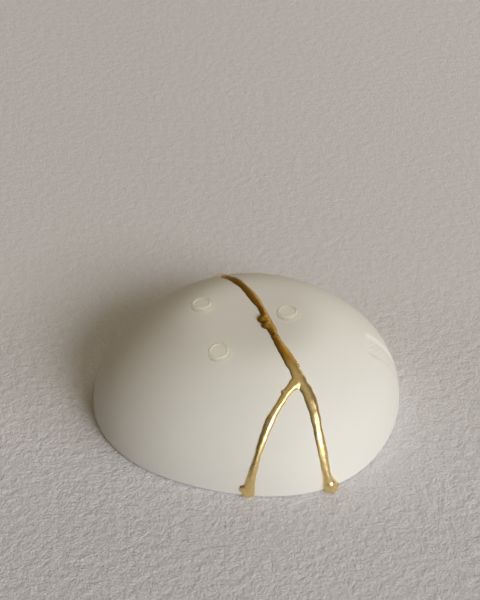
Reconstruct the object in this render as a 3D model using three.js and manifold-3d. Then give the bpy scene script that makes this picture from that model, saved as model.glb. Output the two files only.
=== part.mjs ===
// A hand-formed porcelain bowl, mended with gold and set down upside down on its rim.
// Three shards are held together by one seam of gilded lacquer, and three clear pads under
// the bowl are its feet. Millimetres, +Z up, with the origin on the ground in the middle of
// the part's footprint, and -Y towards the two legs of the seam.

import * as THREE from "three";
import { mergeVertices } from "three/addons/utils/BufferGeometryUtils.js";
import Module from "manifold-3d";

const wasm = await Module();
wasm.setup();

// The bowl's own sizes
const BOWL_RADIUS = 55;
const BOWL_HEIGHT = 38;
const WALL = 3;
const LIP_RADIUS = 1.1;
const LEAN = [0.6, -0.3];

// The section is a nearly flat base, a shoulder at this share of the radius, and a straight
// wall that steepens a little towards the rim.
const BASE_SHARE = 0.44;
const SHOULDER_SHARPNESS = 6;
const STEEPENING = 0.5;

// How far the rim wanders from a circle: waves around it, their size and where they crest
const RIPPLES = [
  { waves: 2, size: 1.5, crestDegrees: -7 },
  { waves: 3, size: 1, crestDegrees: -56 },
  { waves: 4, size: 0.6, crestDegrees: 23 },
  { waves: 5, size: 0.25, crestDegrees: 14 },
];

// The cracks, as [x, y, bead width]. x and y lie on a unit disc that is the bowl seen from
// above with its wall flattened out: 0 is the middle of the base and 1 is the rim.
const FORK = [0.207, -0.351, 5];
const MAIN_CRACK = [
  [-0.399, 0.917, 3.9],
  [-0.26, 0.68, 3.2],
  [-0.141, 0.434, 3.4],
  [-0.056, 0.26, 4.2],
  [0.01, 0.128, 4],
  [0.05, 0.036, 3.4],
  [0.067, -0.036, 4.5],
  [0.092, -0.106, 2.9],
  [0.149, -0.245, 4.2],
  FORK,
];
const LEFT_LEG = [
  FORK,
  [0.15, -0.427, 3.3],
  [0.118, -0.5, 2.8],
  [0.076, -0.608, 3.1],
  [0.032, -0.773, 2.5],
  [0.002, -0.91, 3.9],
  [-0.01, -1, 4.7],
];
const RIGHT_LEG = [
  FORK,
  [0.262, -0.428, 3.7],
  [0.32, -0.566, 2.6],
  [0.366, -0.665, 3.3],
  [0.413, -0.757, 3],
  [0.495, -0.869, 5.7],
];

// The gilded lacquer
const CRACK_WEB = 0.8;
const BEAD_HEIGHT = 0.7;
const INNER_BEAD_HEIGHT = 0.5;
const INNER_BEAD_SHARE = 0.7;
const RIM_FILL_HEIGHT = 4.5;
const RIM_FILL_SHARE = 0.9;

// The clear foot pads, placed on the same disc as the cracks
const PAD_RADIUS = 4;
const PAD_THICKNESS = 1.6;
const PAD_EDGE_RADIUS = 0.4;
const PADS = [
  { name: "foot_pad_left", x: -0.205, y: 0.077 },
  { name: "foot_pad_right", x: 0.153, y: 0.019 },
  { name: "foot_pad_front", x: -0.134, y: -0.236 },
];

// Room between pieces that touch
const CLEARANCE = 0.3;

// How finely the round forms are faceted
const AROUND = 54;
const DOWN_THE_WALL = 15;
const SECTION_STEPS = 2000;
const LIP_STEPS = 3;
const CRACK_STEP = 3.8;
const BEAD_SIDES = 5;
const PAD_SIDES = 22;

const HALF_TURN = Math.PI;
const QUARTER_TURN = Math.PI / 2;
const UP = new THREE.Vector3(0, 0, 1);

// Moves a point of a perfectly round bowl to where the hand-formed bowl has it.
function handFormed(point) {
  const radius = Math.hypot(point.x, point.y);
  const angle = Math.atan2(point.y, point.x);
  const share = radius / BOWL_RADIUS;
  let push = 0;
  for (const { waves, size, crestDegrees } of RIPPLES) {
    push += size * Math.cos(waves * (angle - THREE.MathUtils.degToRad(crestDegrees)));
  }
  const pushed = radius + push * share * share;
  const risen = point.z / BOWL_HEIGHT;
  return new THREE.Vector3(
    pushed * Math.cos(angle) + LEAN[0] * risen,
    pushed * Math.sin(angle) + LEAN[1] * risen,
    point.z,
  );
}

// How fast the wall comes down. share runs from 0 at the middle of the base to 1 at the rim.
function descent(share) {
  const across = Math.sin(share * QUARTER_TURN);
  const steepness = 1 + STEEPENING * Math.pow(across, 4);
  return steepness / (1 + Math.pow(BASE_SHARE / across, SHOULDER_SHARPNESS));
}

// How far down the wall has come at evenly spaced shares, from 0 on the base to 1 at the rim.
function descentSoFar() {
  const sums = [0];
  for (let step = 1; step <= SECTION_STEPS; step++) {
    sums.push(sums.at(-1) + descent((step - 0.5) / SECTION_STEPS));
  }
  return sums.map((sum) => sum / sums.at(-1));
}
const DESCENDED = descentSoFar();

// [radius, height] of the round bowl's wall at a share, inset by a depth.
function wallSection(share, inset) {
  const across = Math.sin(share * QUARTER_TURN);
  const step = Math.min(Math.floor(share * SECTION_STEPS), SECTION_STEPS - 1);
  const past = share * SECTION_STEPS - step;
  const down = THREE.MathUtils.lerp(DESCENDED[step], DESCENDED[step + 1], past);
  return [(BOWL_RADIUS - inset) * across, (BOWL_HEIGHT - inset) * (1 - down)];
}

// The share of the way down the wall at which a wall inset by a depth is a given height up.
function shareAtHeight(height, inset) {
  const down = 1 - height / (BOWL_HEIGHT - inset);
  const step = DESCENDED.findLastIndex((reached) => reached <= down);
  const past = (down - DESCENDED[step]) / (DESCENDED[step + 1] - DESCENDED[step]);
  return (step + past) / SECTION_STEPS;
}

// The point of the bowl's wall at x, y on the flattened disc, inset by a depth.
function onWall(x, y, inset) {
  const share = Math.min(Math.hypot(x, y), 1);
  const angle = Math.atan2(y, x);
  const [radius, height] = wallSection(share, inset);
  return handFormed(
    new THREE.Vector3(radius * Math.cos(angle), radius * Math.sin(angle), height),
  );
}

// The wall's outward direction at x, y on the disc, from two short steps across it.
function wallNormal(x, y) {
  const step = 1e-3;
  const mostShare = 1 - 4 * step;
  const pull = Math.min(1, mostShare / Math.max(Math.hypot(x, y), step));
  const here = onWall(x * pull, y * pull, 0);
  const acrossX = onWall(x * pull + step, y * pull, 0).sub(here);
  const acrossY = onWall(x * pull, y * pull + step, 0).sub(here);
  return acrossX.cross(acrossY).normalize();
}

// A closed mesh as a solid that can be joined and cut.
function toSolid(geometry) {
  const bare = new THREE.BufferGeometry();
  bare.setAttribute("position", geometry.getAttribute("position"));
  bare.setIndex(geometry.getIndex());
  const merged = mergeVertices(bare, 1e-4);
  return new wasm.Manifold(
    new wasm.Mesh({
      numProp: 3,
      vertProperties: new Float32Array(merged.attributes.position.array),
      triVerts: new Uint32Array(merged.index.array),
    }),
  );
}

// A solid as a geometry that three.js can draw.
function toGeometry(solid) {
  const { numProp, vertProperties, triVerts } = solid.getMesh();
  const points = [];
  for (let i = 0; i < vertProperties.length; i += numProp) {
    points.push(...vertProperties.subarray(i, i + 3));
  }
  const geometry = new THREE.BufferGeometry();
  geometry.setAttribute("position", new THREE.Float32BufferAttribute(points, 3));
  geometry.setIndex(Array.from(triVerts));
  geometry.computeVertexNormals();
  return geometry;
}

// Joins a row of rings and closes both ends. Each ring is a loop of as many points, running
// anticlockwise to someone who looks along the row.
function loft(rings) {
  const sides = rings[0].length;
  const points = rings.flat();
  const faces = [];
  for (let ring = 0; ring + 1 < rings.length; ring++) {
    for (let side = 0; side < sides; side++) {
      const next = (side + 1) % sides;
      const a = ring * sides + side;
      const b = ring * sides + next;
      faces.push(a, b + sides, b, a, a + sides, b + sides);
    }
  }
  const last = (rings.length - 1) * sides;
  for (let side = 1; side + 1 < sides; side++) {
    faces.push(0, side, side + 1);
    faces.push(last, last + side + 1, last + side);
  }
  const geometry = new THREE.BufferGeometry().setFromPoints(points);
  geometry.setIndex(faces);
  return geometry;
}

// The whole bowl before it broke: a turned section with a flat land under a rounded lip,
// pushed into its hand-formed shape.
function wholeBowl() {
  const section = [];
  const outerEnd = shareAtHeight(LIP_RADIUS, 0);
  for (let row = 0; row <= DOWN_THE_WALL; row++) {
    section.push(wallSection((outerEnd * row) / DOWN_THE_WALL, 0));
  }
  const outerLip = BOWL_RADIUS - LIP_RADIUS;
  const innerLip = BOWL_RADIUS - WALL + LIP_RADIUS;
  for (let step = 1; step <= LIP_STEPS; step++) {
    const turn = (QUARTER_TURN * step) / LIP_STEPS;
    section.push([outerLip + LIP_RADIUS * Math.cos(turn), LIP_RADIUS * (1 - Math.sin(turn))]);
  }
  for (let step = LIP_STEPS; step >= 1; step--) {
    const turn = (QUARTER_TURN * step) / LIP_STEPS;
    section.push([innerLip - LIP_RADIUS * Math.cos(turn), LIP_RADIUS * (1 - Math.sin(turn))]);
  }
  const innerEnd = shareAtHeight(LIP_RADIUS, WALL);
  for (let row = DOWN_THE_WALL; row >= 0; row--) {
    section.push(wallSection((innerEnd * row) / DOWN_THE_WALL, WALL));
  }
  const profile = section.reverse().map(([r, z]) => new THREE.Vector2(r, z));
  const turned = new THREE.LatheGeometry(profile, AROUND);
  turned.rotateX(QUARTER_TURN);
  const corners = turned.getAttribute("position");
  const corner = new THREE.Vector3();
  for (let i = 0; i < corners.count; i++) {
    corner.fromBufferAttribute(corners, i);
    corners.setXYZ(i, ...handFormed(corner).toArray());
  }
  return toSolid(turned);
}

// The stations of a crack: where it is on the wall outside and inside, which way is out of
// the wall and along the rim, and how wide its bead is. A crack that ends at the rim gets
// one more station below it, so that cuts run right through.
function crackStations(path) {
  const curve = new THREE.CatmullRomCurve3(
    path.map((point) => new THREE.Vector3(...point)),
    false,
    "centripetal",
  );
  const length = curve.getPoints(path.length * 8).reduce((sum, point, i, all) => {
    const from = onWall(all[Math.max(i - 1, 0)].x, all[Math.max(i - 1, 0)].y, 0);
    return sum + from.distanceTo(onWall(point.x, point.y, 0));
  }, 0);
  const stations = curve.getPoints(Math.ceil(length / CRACK_STEP)).map(({ x, y, z }) => ({
    outer: onWall(x, y, 0),
    inner: onWall(x, y, WALL),
    out: wallNormal(x, y),
    width: z,
  }));
  const overrun = 2 * CRACK_STEP;
  const below = (station) => ({
    ...station,
    outer: station.outer.clone().addScaledVector(UP, -overrun),
    inner: station.inner.clone().addScaledVector(UP, -overrun),
  });
  const atRim = ([x, y]) => Math.hypot(x, y) > 0.99;
  if (atRim(path[0])) stations.unshift(below(stations[0]));
  if (atRim(path.at(-1))) stations.push(below(stations.at(-1)));
  stations.forEach((station, i) => {
    const before = stations[Math.max(i - 1, 0)].outer;
    const after = stations[Math.min(i + 1, stations.length - 1)].outer;
    station.across = after.clone().sub(before).cross(station.out).normalize();
  });
  return stations;
}

// The thin sheet of lacquer in a crack, widened by an amount on each side. Near the rim it
// grows to the bead's width, where the chipped edges of the shards are filled up.
function crackWeb(stations, extra) {
  const reach = CLEARANCE + BEAD_HEIGHT / 3;
  return toSolid(
    loft(
      stations.map(({ outer, inner, out, across, width }) => {
        const nearRim = 1 - THREE.MathUtils.smoothstep(outer.z, 0, RIM_FILL_HEIGHT);
        const filled = THREE.MathUtils.lerp(CRACK_WEB, RIM_FILL_SHARE * width, nearRim);
        const half = filled / 2 + extra;
        const over = outer.clone().addScaledVector(out, reach);
        const under = inner.clone().addScaledVector(out, -reach);
        return [
          over.clone().addScaledVector(across, half),
          over.clone().addScaledVector(across, -half),
          under.clone().addScaledVector(across, -half),
          under.clone().addScaledVector(across, half),
        ];
      }),
    ),
  );
}

// The raised bead along a crack, a half-round standing just clear of the wall. side is 1
// for the outside of the bowl and -1 for the inside.
function crackBead(stations, side) {
  const height = side > 0 ? BEAD_HEIGHT : INNER_BEAD_HEIGHT;
  const share = side > 0 ? 1 : INNER_BEAD_SHARE;
  const rings = stations.map(({ outer, inner, out, across, width }) => {
    const foot = side > 0 ? outer : inner;
    return Array.from({ length: BEAD_SIDES + 1 }, (_, i) => {
      const turn = (HALF_TURN * i) / BEAD_SIDES;
      return foot
        .clone()
        .addScaledVector(across, (side * share * width * Math.cos(turn)) / 2)
        .addScaledVector(out, side * (CLEARANCE + height * Math.sin(turn)));
    });
  });
  return toSolid(loft(rings));
}

const material = {
  porcelain: new THREE.MeshStandardMaterial({ color: 0xdedad0, roughness: 0.5, metalness: 0 }),
  gold: new THREE.MeshStandardMaterial({ color: 0xc6a052, roughness: 0.2, metalness: 1 }),
  clear: new THREE.MeshStandardMaterial({
    color: 0xe4e2d4,
    roughness: 0.15,
    metalness: 0,
    transparent: true,
    opacity: 0.45,
  }),
};

function named(name, geometry, surface) {
  const mesh = new THREE.Mesh(geometry, surface);
  mesh.name = name;
  return mesh;
}

// The shards, cut apart along the cracks and named from left to right.
function shards(bowl, cracks) {
  const cutter = wasm.Manifold.union(cracks.map((stations) => crackWeb(stations, CLEARANCE)));
  const middleX = (solid) => {
    const { min, max } = solid.boundingBox();
    return (min[0] + max[0]) / 2;
  };
  const pieces = bowl.subtract(cutter).decompose();
  pieces.sort((a, b) => middleX(a) - middleX(b));
  const names = ["shard_left", "shard_front", "shard_right"];
  return pieces.map((piece, i) => named(names[i], toGeometry(piece), material.porcelain));
}

// The seam: a web in every crack and a bead along it outside and inside. Its feet are
// ground flat with the rim.
function goldSeam(bowl, cracks) {
  const webs = cracks.map((stations) => crackWeb(stations, 0));
  const beads = cracks.flatMap((stations) => [crackBead(stations, 1), crackBead(stations, -1)]);
  const joined = wasm.Manifold.union([...webs, ...beads]);
  return named("gold_seam", toGeometry(joined.trimByPlane([0, 0, 1], 0)), material.gold);
}

// One clear pad, a flat disc with a rounded upper edge, stood on the base of the bowl.
function footPad({ name, x, y }) {
  const profile = [new THREE.Vector2(0, 0), new THREE.Vector2(PAD_RADIUS, 0)];
  const edgeCentre = [PAD_RADIUS - PAD_EDGE_RADIUS, PAD_THICKNESS - PAD_EDGE_RADIUS];
  for (let step = 0; step <= LIP_STEPS; step++) {
    const turn = (QUARTER_TURN * step) / LIP_STEPS;
    profile.push(
      new THREE.Vector2(
        edgeCentre[0] + PAD_EDGE_RADIUS * Math.cos(turn),
        edgeCentre[1] + PAD_EDGE_RADIUS * Math.sin(turn),
      ),
    );
  }
  profile.push(new THREE.Vector2(0, PAD_THICKNESS));
  const disc = new THREE.LatheGeometry(profile, PAD_SIDES);
  disc.rotateX(QUARTER_TURN);
  const pad = named(name, disc, material.clear);
  const out = wallNormal(x, y);
  pad.quaternion.setFromUnitVectors(UP, out);
  pad.position.copy(onWall(x, y, 0).addScaledVector(out, CLEARANCE));
  return pad;
}

const cracks = [[...MAIN_CRACK, ...LEFT_LEG.slice(1)], RIGHT_LEG].map(crackStations);
const bowl = wholeBowl();
const part = new THREE.Group();
part.add(...shards(bowl, cracks), goldSeam(bowl, cracks), ...PADS.map(footPad));

// The origin goes under the middle of the finished part.
const reach = new THREE.Box3().setFromObject(part, true);
const middle = reach.getCenter(new THREE.Vector3());
part.position.set(-middle.x, -middle.y, 0);

export default part;
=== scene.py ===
"""Dresses the kintsugi bowl: three porcelain shards, the gold seam that joins them and three clear foot pads.

Lengths in the classes are millimetres and angles are degrees, unless a name says otherwise. The meshes are
written in metres, in the frame of the CAD model.
"""
import logging
import math
from dataclasses import dataclass, field
from enum import Enum
from functools import cached_property, reduce

import bmesh
import bpy
import numpy as np
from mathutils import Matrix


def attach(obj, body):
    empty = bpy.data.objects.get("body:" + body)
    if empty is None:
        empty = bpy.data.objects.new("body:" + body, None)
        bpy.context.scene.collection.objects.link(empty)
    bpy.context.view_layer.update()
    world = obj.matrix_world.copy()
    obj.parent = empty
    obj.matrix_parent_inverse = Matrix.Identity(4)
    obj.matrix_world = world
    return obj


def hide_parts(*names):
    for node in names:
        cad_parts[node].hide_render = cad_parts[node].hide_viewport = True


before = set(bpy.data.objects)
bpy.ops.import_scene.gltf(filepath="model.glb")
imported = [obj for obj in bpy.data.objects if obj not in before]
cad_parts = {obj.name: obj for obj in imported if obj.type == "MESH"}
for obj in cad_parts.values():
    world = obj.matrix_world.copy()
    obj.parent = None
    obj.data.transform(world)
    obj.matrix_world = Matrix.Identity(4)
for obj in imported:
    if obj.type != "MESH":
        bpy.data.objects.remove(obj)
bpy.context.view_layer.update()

LOG = logging.getLogger("kintsugi_bowl")
METRES = 0.001
# Name of the pads' mask of painted shade, on the edge and on a ring inside the ridge
PAINTED_RIM_SHADE_MASK = "painted_rim_shade"
# Keeps a division by a length of nothing finite
TINY = 1e-9
# Where the mix node keeps its first input, its second one and its result
MIX_SOCKETS = {"RGBA": (6, 7, 2), "FLOAT": (2, 3, 0)}


class Side(Enum):
    """The two faces of the bowl's wall."""

    OUTER = 1
    INNER = -1


class Slot(Enum):
    """The record's material slots."""

    PORCELAIN = "porcelain"
    GOLD = "gold"
    CLEAR_PAD = "clear_pad"


@dataclass(frozen=True)
class Ripple:
    """One slow wave in how far the hand-formed rim stands out: its count, its size and where a crest is."""

    waves: int
    size: float
    crest: float


@dataclass(frozen=True)
class BowlForm:
    """The bowl's wall, upside down on its rim, as a surface over a flat disc.

    A point of the disc at the distance share from its middle lies on the wall at that share of the way
    from the top of the dome to the rim. Past the wall's edge the surface goes on round the rounded lip to
    the middle of the flat land that the bowl rests on.
    """

    radius: float = 54.93
    height: float = 38.0
    wall: float = 3.0
    lip: float = 1.1
    land: float = 0.03
    base_share: float = 0.44
    shoulder_sharpness: float = 6.0
    steepening: float = 0.5
    lean: tuple[float, float] = (0.6, -0.3)
    middle: tuple[float, float] = (0.8307, 0.0629)
    ripples: tuple[Ripple, ...] = (
        Ripple(2, 1.5, -7), Ripple(3, 1.0, -56), Ripple(4, 0.6, 23), Ripple(5, 0.25, 14),
    )
    section_steps: int = 20000
    normal_step: float = 0.0008

    def inset(self, side: Side) -> float:
        """How far the face lies inside the outer form."""
        return 0.0 if side is Side.OUTER else self.wall

    @cached_property
    def descent(self) -> tuple[np.ndarray, np.ndarray]:
        """How far down the wall has come, from 0 on the base to 1 at the rim.

        With across the sine of share times a quarter turn, the wall comes down at the rate of one plus
        the steepening times across to the fourth, over one plus the base share over across to the
        shoulder's sharpness. The rates are summed up from the middle of the base.

        Returns:
            Evenly spaced shares, and the way down at each.
        """
        share = np.linspace(0, 1, self.section_steps + 1)
        across = np.sin((share[1:] + share[:-1]) * np.pi / 4)
        rate = (1 + self.steepening * across**4) / (1 + (self.base_share / across) ** self.shoulder_sharpness)
        down = np.concatenate([[0], np.cumsum(rate)])
        return share, down / down[-1]

    def edge_share(self, side: Side) -> float:
        """The share at which the wall has come down to the height of the lip's rounding."""
        share, down = self.descent
        return float(np.interp(1 - self.lip / (self.height - self.inset(side)), down, share))

    def lip_travel(self) -> float:
        """The way from the wall's edge, round the lip, to the middle of the land."""
        return self.lip * math.pi / 2 + self.wall / 2 - self.lip

    def wrap_share(self, side: Side) -> float:
        """The share at which the surface reaches the middle of the land."""
        return self.edge_share(side) + self.lip_travel() / self.radius

    def wall_points(self, share: np.ndarray, angle: np.ndarray, side: Side) -> np.ndarray:
        """Points of the wall.

        The section has a nearly flat base, a shoulder and a straight wall that steepens a little towards
        the rim: across is the sine of share times a quarter turn, and up is one less the way down. The
        radius then gains the ripples, which grow with the square of the radius, and the whole leans over
        with its height.

        Args:
            share: Share of the way from the top to the rim.
            angle: Angle round the bowl, in radians.
            side: Face of the wall.

        Returns:
            Points, with x, y and z in the last axis.
        """
        inset = self.inset(side)
        across = np.sin(share * np.pi / 2)
        reach = (self.radius - inset) * across
        rise = (self.height - inset) * (1 - np.interp(share, *self.descent))
        push = sum(
            wave.size * np.cos(wave.waves * (angle - math.radians(wave.crest))) for wave in self.ripples
        )
        reach = reach + push * (reach / self.radius) ** 2
        x = reach * np.cos(angle) + self.lean[0] * rise / self.height + self.middle[0]
        y = reach * np.sin(angle) + self.lean[1] * rise / self.height + self.middle[1]
        return np.stack([x, y, rise], -1)

    def land_edge(self, angle: np.ndarray, side: Side) -> np.ndarray:
        """Where the lip's rounding meets the land.

        Args:
            angle: Angle round the bowl, in radians.
            side: Face of the wall.

        Returns:
            Points, with x, y and z in the last axis.
        """
        points = self.wall_points(np.full_like(angle, self.edge_share(side)), angle, side)
        inward = -self.lip * side.value
        points[..., 0] += inward * np.cos(angle)
        points[..., 1] += inward * np.sin(angle)
        points[..., 2] = self.land
        return points

    def surface(self, x: np.ndarray, y: np.ndarray, side: Side) -> np.ndarray:
        """Points of a face of the bowl over points of the disc.

        Up to the edge share this is the wall. Past it the way travelled, share past the edge times the
        radius, turns round the lip: the point moves inwards by one less the cosine of the turn and down
        by its sine. The rest of the way runs straight to the middle of the land, where both faces meet.

        Args:
            x: Disc coordinate to the right.
            y: Disc coordinate to the back.
            side: Face of the wall.

        Returns:
            Points, with x, y and z in the last axis.
        """
        share, angle = np.hypot(x, y), np.arctan2(y, x)
        edge = self.edge_share(side)
        points = self.wall_points(np.minimum(share, edge), angle, side)
        travel = np.maximum(share - edge, 0) * self.radius
        turn = np.clip(travel / self.lip, 0, np.pi / 2)
        inward = -self.lip * side.value * (1 - np.cos(turn))
        points[..., 0] += inward * np.cos(angle)
        points[..., 1] += inward * np.sin(angle)
        points[..., 2] = self.land + (points[..., 2] - self.land) * (1 - np.sin(turn))
        across = np.clip((travel - self.lip * np.pi / 2) / (self.wall / 2 - self.lip), 0, 1)[..., None]
        half_way = (self.land_edge(angle, Side.OUTER) + self.land_edge(angle, Side.INNER)) / 2
        return points * (1 - across) + half_way * across

    def normals(self, x: np.ndarray, y: np.ndarray, side: Side) -> np.ndarray:
        """Unit normals away from the wall, from the cross product of small steps over the disc.

        Args:
            x: Disc coordinate to the right.
            y: Disc coordinate to the back.
            side: Face of the wall.

        Returns:
            Normals, with x, y and z in the last axis.
        """
        step = self.normal_step
        share = np.maximum(np.hypot(x, y), TINY)
        keep = np.minimum(share, self.wrap_share(side) - 2 * step) / share
        x, y = x * keep, y * keep
        along_x = self.surface(x + step, y, side) - self.surface(x - step, y, side)
        along_y = self.surface(x, y + step, side) - self.surface(x, y - step, side)
        normal = np.cross(along_x, along_y) * side.value
        return normal / np.maximum(np.linalg.norm(normal, axis=-1, keepdims=True), TINY)


def ease(value: np.ndarray, low: float, high: float) -> np.ndarray:
    """Smooth step: 0 below low, 1 above high, three squares less two cubes of the share between."""
    share = np.clip((value - low) / (high - low), 0, 1)
    return share * share * (3 - 2 * share)


def smooth_max(first: np.ndarray, second: np.ndarray, blend: float) -> np.ndarray:
    """The larger of two fields, with the corner between them filled by a parabola as wide as blend."""
    return np.maximum(first, second) + np.maximum(blend - np.abs(first - second), 0) ** 2 / (4 * blend)


def blurred(height: np.ndarray) -> np.ndarray:
    """Each value of a grid turned into half of itself and an eighth of each of its four neighbours.

    Args:
        height: The grid.

    Returns:
        The blurred grid, of the same size.
    """
    padded = np.pad(height, 1, mode="edge")
    return (
        4 * padded[1:-1, 1:-1] + padded[:-2, 1:-1] + padded[2:, 1:-1] + padded[1:-1, :-2] + padded[1:-1, 2:]
    ) / 8


def cell_corners(grid: np.ndarray) -> list[np.ndarray]:
    """The values of a grid at the four corners of each of its cells, in order round the cell."""
    return [grid[:-1, :-1], grid[1:, :-1], grid[1:, 1:], grid[:-1, 1:]]


def way_along(points: np.ndarray) -> np.ndarray:
    """The length travelled from the first of a row of points to each of them."""
    return np.concatenate([[0], np.cumsum(np.linalg.norm(np.diff(points, axis=0), axis=1))])


def to_the_left(path: np.ndarray) -> np.ndarray:
    """The unit direction to the left of the way along a path over the disc, at each of its points."""
    run = np.gradient(path[:, :2], axis=0)
    run /= np.linalg.norm(run, axis=1, keepdims=True)
    return np.stack([-run[:, 1], run[:, 0]], 1)


def stretches(*ends: tuple[float, int]) -> np.ndarray:
    """Shares from 0 to 1, in stretches that are each given by where they end and their number of steps."""
    starts = (0.0, *(end for end, _ in ends))
    rows = [np.linspace(start, end, steps, endpoint=False) for start, (end, steps) in zip(starts, ends)]
    return np.append(np.concatenate(rows), 1.0)


def smooth_path(stations: np.ndarray, count: int) -> np.ndarray:
    """A smooth curve through stations, by a cubic between each two with slopes from their neighbours.

    Args:
        stations: One row for each station.
        count: Number of points wanted.

    Returns:
        Points evenly spaced in the chord length of the stations.
    """
    chord = way_along(stations[:, :2])
    slopes = np.gradient(stations, chord, axis=0)
    at = np.linspace(0, chord[-1], count)
    piece = np.clip(np.searchsorted(chord, at, side="right") - 1, 0, len(chord) - 2)
    length = (chord[piece + 1] - chord[piece])[:, None]
    share = (at - chord[piece])[:, None] / length
    square, cube = share**2, share**3
    return (
        (2 * cube - 3 * square + 1) * stations[piece]
        + (cube - 2 * square + share) * length * slopes[piece]
        + (3 * square - 2 * cube) * stations[piece + 1]
        + (cube - square) * length * slopes[piece + 1]
    )


def even_path(path: np.ndarray, form: BowlForm, count: int) -> np.ndarray:
    """Respaces a path over the disc so that its points lie evenly along the bowl's outer face.

    Args:
        path: Disc x and y, and any further columns.
        form: The bowl's form.
        count: Number of points wanted.

    Returns:
        The path with count rows.
    """
    length = way_along(form.surface(path[:, 0], path[:, 1], Side.OUTER))
    at = np.linspace(0, length[-1], count)
    return np.stack([np.interp(at, length, column) for column in path.T], 1)


def hand_lumps(points: np.ndarray, wavelength: float, seed: int) -> np.ndarray:
    """Soft unevenness between about -1 and 1: twice the mean of eight sine waves in seeded random directions.

    Args:
        points: Points, with x, y and z in the last axis.
        wavelength: Length of the middle wave.
        seed: Chooses the directions and phases.

    Returns:
        One value for each point.
    """
    waves, slowest, quickest = 8, 0.7, 1.4
    chance = np.random.default_rng(seed)
    ways = chance.normal(size=(waves, 3))
    rates = 2 * np.pi / wavelength * chance.uniform(slowest, quickest, (waves, 1))
    ways *= rates / np.linalg.norm(ways, axis=1, keepdims=True)
    phases = chance.uniform(0, 2 * np.pi, waves)
    return np.sin(points @ ways.T + phases).mean(-1) * 2


def closed_blanket(top: np.ndarray, under: np.ndarray, cells: np.ndarray) -> tuple[np.ndarray, np.ndarray]:
    """A closed shell from two sheets over one grid, joined by walls round every edge of the kept cells.

    Args:
        top: Points of the upper sheet, with two grid axes and one for x, y and z.
        under: Points of the lower sheet, on the same grid.
        cells: Which cells of the grid are kept.

    Returns:
        Vertices and faces of four corners, facing out where the top sheet lies above the lower one.
    """
    rows, columns = top.shape[:2]
    index = np.arange(rows * columns).reshape(rows, columns)
    corners = cell_corners(index)
    quads = np.stack([corner[cells] for corner in corners], 1)
    lower = rows * columns
    faces = [quads, quads[:, ::-1] + lower]
    padded = np.pad(cells, 1)
    neighbours = [padded[1:-1, :-2], padded[2:, 1:-1], padded[1:-1, 2:], padded[:-2, 1:-1]]
    for turn, neighbour in enumerate(neighbours):
        open_side = cells & ~neighbour
        start, end = corners[turn][open_side], corners[(turn + 1) % 4][open_side]
        faces.append(np.stack([start + lower, end + lower, end, start], 1))
    faces = np.concatenate(faces)
    used, flat = np.unique(faces, return_inverse=True)
    points = np.concatenate([top.reshape(-1, 3), under.reshape(-1, 3)])[used]
    return points, flat.reshape(faces.shape)


def facing_out(points: np.ndarray, faces: np.ndarray) -> np.ndarray:
    """Turns the faces round if the volume they close, a sixth of the sum of triple products, is negative."""
    a, b, c, d = (points[faces[:, corner]] for corner in range(4))
    volume = np.einsum("ij,ij->", a, np.cross(b, c)) + np.einsum("ij,ij->", a, np.cross(c, d))
    return faces if volume > 0 else faces[:, ::-1]


def make_piece(
    name: str, shells: list[tuple[np.ndarray, np.ndarray]], node: str, sharp: float = 45.0
) -> bpy.types.Object:
    """Makes an object from closed shells of four-cornered faces, hangs it under the root and hides the CAD
    node that it replaces.

    Args:
        name: Name of the piece.
        shells: Vertices in millimetres and faces of each shell.
        node: CAD node that the piece replaces.
        sharp: Angle above which an edge stays sharp.

    Returns:
        The new object, at the origin.
    """
    closest = 2e-7
    start, all_points, all_faces = 0, [], []
    for points, faces in shells:
        all_points.append(points * METRES)
        all_faces.append(facing_out(points, faces) + start)
        start += len(points)
    mesh = bpy.data.meshes.new(name)
    mesh.from_pydata(np.concatenate(all_points).tolist(), [], np.concatenate(all_faces).tolist())
    work = bmesh.new()
    work.from_mesh(mesh)
    bmesh.ops.remove_doubles(work, verts=work.verts, dist=closest)
    work.to_mesh(mesh)
    work.free()
    mesh.validate()
    mesh.shade_smooth()
    mesh.set_sharp_from_angle(angle=math.radians(sharp))
    piece = bpy.data.objects.new(name, mesh)
    bpy.context.scene.collection.objects.link(piece)
    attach(piece, "root")
    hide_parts(node)
    return piece


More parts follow.
